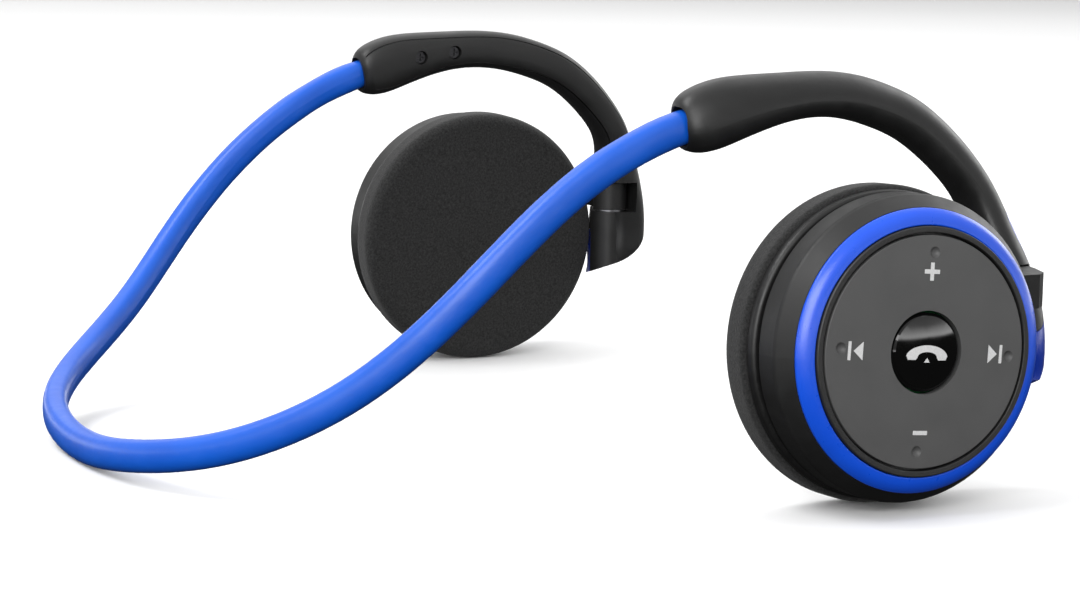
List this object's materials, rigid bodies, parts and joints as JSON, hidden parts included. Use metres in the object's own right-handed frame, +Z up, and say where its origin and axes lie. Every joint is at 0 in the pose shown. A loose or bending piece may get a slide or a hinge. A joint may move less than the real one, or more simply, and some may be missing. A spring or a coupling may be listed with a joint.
{
  "type": "behind-the-neck headphones",
  "caption": "Wireless on-ear headphones: a formed neckband joins over-ear hooks, whose padded round cups fold inward on hinges; one cup carries a rocking control disc and call button.",
  "frame": {"origin": "middle of the floor area under the headphones, on the floor that both pads and the rear of the neckband stand on", "axes": "+X to the wearer's left, +Y to the back of the head, +Z up"},
  "size_m": [0.1866, 0.1492, 0.0704],
  "materials": {
    "band_blue": "satin",
    "spring_steel": "satin",
    "lead_black": "matte",
    "hook_black": "soft-touch",
    "cover_black": "soft-touch",
    "trim_blue": "satin",
    "screw_steel": "blackened",
    "pin_steel": "ground",
    "clamp_nylon": "matte",
    "pad_foam": "open-cell foam",
    "rim_black": "satin",
    "baffle_black": "matte",
    "housing_black": "fine texture",
    "ring_blue": "satin",
    "bezel_black": "satin",
    "frame_grey": "matte",
    "magnet_metal": "plated",
    "diaphragm_film": "thin film",
    "disc_black": "satin",
    "button_gloss": "polished",
    "board_green": "lacquered",
    "switch_metal": "stamped",
    "microphone_black": "matte",
    "socket_metal": "stamped",
    "battery_foil": "pouch foil"
  },
  "bodies": {
    "frame": {"hinge_pin_left": "pin_steel", "hinge_pin_right": "pin_steel", "hinge_trim_left": "trim_blue", "hinge_trim_right": "trim_blue", "hinge_washer_left": "spring_steel", "hinge_washer_right": "spring_steel", "hook_cover_left": "cover_black", "hook_cover_right": "cover_black", "hook_lead_left": "lead_black", "hook_lead_right": "lead_black", "hook_screws_left": "screw_steel", "hook_screws_right": "screw_steel", "hook_shell_left": "hook_black", "hook_shell_right": "hook_black", "neckband_clamp_left": "clamp_nylon", "neckband_clamp_right": "clamp_nylon", "neckband_lead": "lead_black", "neckband_sheath": "band_blue", "neckband_spring_core": "spring_steel"},
    "cup_left": {"baffle_left": "baffle_black", "baffle_screws_left": "screw_steel", "bezel_left": "bezel_black", "driver_diaphragm_left": "diaphragm_film", "driver_frame_left": "frame_grey", "driver_magnet_left": "magnet_metal", "ear_pad_left": "pad_foam", "face_ring_left": "ring_blue", "housing_left": "housing_black", "pad_rim_left": "rim_black", "plain_disc": "disc_black", "battery": "battery_foil", "battery_tray": "clamp_nylon"},
    "cup_right": {"baffle_right": "baffle_black", "baffle_screws_right": "screw_steel", "bezel_right": "bezel_black", "driver_diaphragm_right": "diaphragm_film", "driver_frame_right": "frame_grey", "driver_magnet_right": "magnet_metal", "ear_pad_right": "pad_foam", "face_ring_right": "ring_blue", "housing_right": "housing_black", "pad_rim_right": "rim_black", "main_board": "board_green", "press_switches": "switch_metal", "radio_module": "switch_metal", "microphone": "microphone_black", "charging_socket": "socket_metal"},
    "disc_rocker": {"rocker_spring": "spring_steel"},
    "control_disc": {"control_disc": "disc_black"},
    "call_button": {"call_button": "button_gloss"}
  },
  "joints": [
    {"name": "fold_left", "type": "hinge", "parent": "frame", "child": "cup_left", "pos_m": [0.07015, -0.067, 0.03481], "axis": [0, 0, 1], "range_deg": [0, 88]},
    {"name": "fold_right", "type": "hinge", "parent": "frame", "child": "cup_right", "pos_m": [-0.07015, -0.067, 0.03481], "axis": [0, 0, -1], "range_deg": [0, 88]},
    {"name": "rock_up_down", "type": "hinge", "parent": "cup_right", "child": "disc_rocker", "pos_m": [-0.09114, -0.039, 0.02689], "axis": [0, 1, 0], "range_deg": [-1.1, 1.1], "stiffness_Nm_per_rad": 1.7},
    {"name": "rock_front_back", "type": "hinge", "parent": "disc_rocker", "child": "control_disc", "pos_m": [-0.09114, -0.039, 0.02689], "axis": [0.0401, 0, 0.9992], "range_deg": [-1.1, 1.1], "stiffness_Nm_per_rad": 1.7},
    {"name": "press_call", "type": "slide", "parent": "cup_right", "child": "call_button", "axis": [0.9992, 0, -0.0401], "range_m": [0, 0.0005], "stiffness_N_per_m": 4000, "springref_m": -0.0002}
  ]
}
